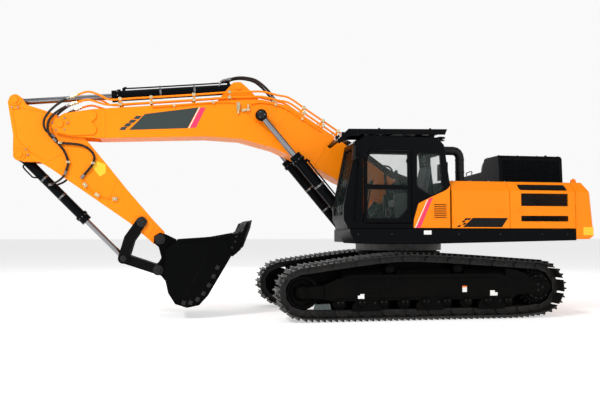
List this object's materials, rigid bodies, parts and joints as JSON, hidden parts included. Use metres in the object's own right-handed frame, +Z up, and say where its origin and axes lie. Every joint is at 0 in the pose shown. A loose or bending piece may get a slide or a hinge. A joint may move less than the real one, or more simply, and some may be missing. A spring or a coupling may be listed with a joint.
{
  "type": "crawler excavator",
  "caption": "Tracked excavator with a slewing upper structure, cab, counterweight, one-piece boom, arm and toothed bucket moved by hydraulic cylinders.",
  "frame": {"origin": "on the floor under the middle of the overall length and width, with the slew axis 1.72 m behind it", "axes": "+Z up, the boom and cab face -Y, the machine's left side (the cab's side) is +X"},
  "size_m": [3.19, 10.89, 4.3161],
  "materials": {
    "orange_paint": "gloss",
    "black_paint": "satin",
    "dark_steel": "worn",
    "chrome_rod": "polished",
    "cab_glass": "clear",
    "seat_fabric": "matte",
    "black_plastic": "matte"
  },
  "bodies": {
    "undercarriage": {"carbody": "black_paint", "slew_ring": "dark_steel", "track_frame_left": "black_paint", "track_frame_right": "black_paint", "track_left": "dark_steel", "track_right": "dark_steel", "idler_left": "black_paint", "idler_right": "black_paint", "final_drive_left": "black_paint", "final_drive_right": "black_paint"},
    "house": {"swing_frame": "black_paint", "boom_bracket_left": "black_paint", "boom_bracket_right": "black_paint", "counterweight": "orange_paint", "engine_deck": "black_paint", "fuel_tank": "orange_paint", "hydraulic_tank": "orange_paint", "tool_box": "black_paint", "engine_block": "dark_steel", "air_intake_duct": "black_plastic", "exhaust_pipe": "dark_steel", "cab": "black_paint", "cab_window_left": "cab_glass", "cab_window_right": "cab_glass", "cab_window_rear": "cab_glass", "windscreen": "cab_glass", "roof_window": "cab_glass", "operator_seat": "seat_fabric", "console_left": "black_plastic", "console_right": "black_plastic", "travel_levers": "black_plastic", "roof_guard": "black_paint", "handrail_right": "black_paint", "mirror_left": "black_plastic", "mirror_right": "black_plastic"},
    "boom": {"boom": "orange_paint"},
    "boom_cylinders": {"boom_cylinder_left": "black_paint", "boom_cylinder_right": "black_paint"},
    "boom_rods": {"boom_cylinder_rod_left": "chrome_rod", "boom_cylinder_rod_right": "chrome_rod"},
    "arm_cylinder": {"arm_cylinder": "black_paint"},
    "arm_rod": {"arm_cylinder_rod": "chrome_rod"},
    "arm": {"arm": "orange_paint"},
    "bucket_cylinder": {"bucket_cylinder": "black_paint"},
    "bucket_rod": {"bucket_cylinder_rod": "chrome_rod"},
    "rocker": {"rocker_arms": "black_paint"},
    "bucket_link": {"bucket_link": "black_paint"},
    "bucket": {"bucket": "black_paint"},
    "cab_door": {"cab_door": "black_paint", "cab_door_window_upper": "cab_glass", "cab_door_window_lower": "cab_glass"},
    "side_door_left_front": {"side_door_left_front": "orange_paint"},
    "side_door_left_rear": {"side_door_left_rear": "orange_paint"},
    "side_door_right": {"side_door_right": "orange_paint"},
    "engine_hood": {"engine_hood": "black_paint"}
  },
  "joints": [
    {"name": "slew", "type": "hinge", "parent": "undercarriage", "child": "house", "pos_m": [0, 1.72, 1.3], "axis": [0, 0, 1], "continuous": true},
    {"name": "boom_lift", "type": "hinge", "parent": "house", "child": "boom", "pos_m": [0, 1.72, 2.24], "axis": [-1, 0, 0], "range_deg": [-42, 40]},
    {"name": "boom_cylinder_swing", "type": "hinge", "parent": "house", "child": "boom_cylinders", "pos_m": [0, 0.82, 1.47], "axis": [-1, 0, 0], "range_deg": [-43, 41]},
    {"name": "boom_cylinder_extend", "type": "slide", "parent": "boom_cylinders", "child": "boom_rods", "axis": [0, -0.6467, 0.7627], "range_m": [-0.814, 0.775]},
    {"name": "arm_swing", "type": "hinge", "parent": "boom", "child": "arm", "pos_m": [0, -4.55, 3.4], "axis": [1, 0, 0], "range_deg": [-111, 6]},
    {"name": "arm_cylinder_swing", "type": "hinge", "parent": "boom", "child": "arm_cylinder", "pos_m": [0, -1.41, 4.2], "axis": [1, 0, 0], "range_deg": [-8, 1]},
    {"name": "arm_cylinder_extend", "type": "slide", "parent": "arm_cylinder", "child": "arm_rod", "axis": [0, -0.9952, -0.0981], "range_m": [-1.437, 0.08]},
    {"name": "bucket_curl", "type": "hinge", "parent": "arm", "child": "bucket", "pos_m": [0, -2.81, 1.38], "axis": [1, 0, 0], "range_deg": [-88, 76]},
    {"name": "rocker_swing", "type": "hinge", "parent": "arm", "child": "rocker", "pos_m": [0, -3.135, 1.69], "axis": [1, 0, 0], "range_deg": [-67, 58]},
    {"name": "bucket_link_swing", "type": "hinge", "parent": "bucket", "child": "bucket_link", "pos_m": [0, -2.837, 0.832], "axis": [1, 0, 0], "range_deg": [-52, 61]},
    {"name": "bucket_cylinder_swing", "type": "hinge", "parent": "arm", "child": "bucket_cylinder", "pos_m": [0, -5.23, 2.855], "axis": [1, 0, 0], "range_deg": [-7, 6]},
    {"name": "bucket_cylinder_extend", "type": "slide", "parent": "bucket_cylinder", "child": "bucket_rod", "axis": [0, 0.7012, -0.713], "range_m": [-0.721, 0.623]},
    {"name": "cab_door_hinge", "type": "hinge", "parent": "house", "child": "cab_door", "pos_m": [1.495, 1.49, 2.3], "axis": [0, 0, 1], "range_deg": [0, 170]},
    {"name": "side_door_left_front_hinge", "type": "hinge", "parent": "house", "child": "side_door_left_front", "pos_m": [1.49, 2.22, 2], "axis": [0, 0, 1], "range_deg": [-100, 0]},
    {"name": "side_door_left_rear_hinge", "type": "hinge", "parent": "house", "child": "side_door_left_rear", "pos_m": [1.49, 4.596, 2], "axis": [0, 0, 1], "range_deg": [0, 100]},
    {"name": "side_door_right_hinge", "type": "hinge", "parent": "house", "child": "side_door_right", "pos_m": [-1.49, 4.596, 2], "axis": [0, 0, -1], "range_deg": [0, 100]},
    {"name": "engine_hood_hinge", "type": "hinge", "parent": "house", "child": "engine_hood", "pos_m": [0, 4.69, 2.445], "axis": [-1, 0, 0], "range_deg": [0, 60]}
  ],
  "couplings": [
    {"joint": "boom_cylinder_swing", "follows": "boom_lift", "ratio": 0.9955},
    {"joint": "boom_cylinder_extend", "follows": "boom_lift", "m_per_rad": 1.1072},
    {"joint": "arm_cylinder_swing", "follows": "arm_swing", "ratio": 0.0639},
    {"joint": "arm_cylinder_extend", "follows": "arm_swing", "m_per_rad": 0.7403},
    {"joint": "rocker_swing", "follows": "bucket_curl", "ratio": 0.7513},
    {"joint": "bucket_link_swing", "follows": "bucket_curl", "ratio": -0.6771},
    {"joint": "bucket_cylinder_swing", "follows": "bucket_curl", "ratio": 0.0629},
    {"joint": "bucket_cylinder_extend", "follows": "bucket_curl", "m_per_rad": 0.4677}
  ]
}
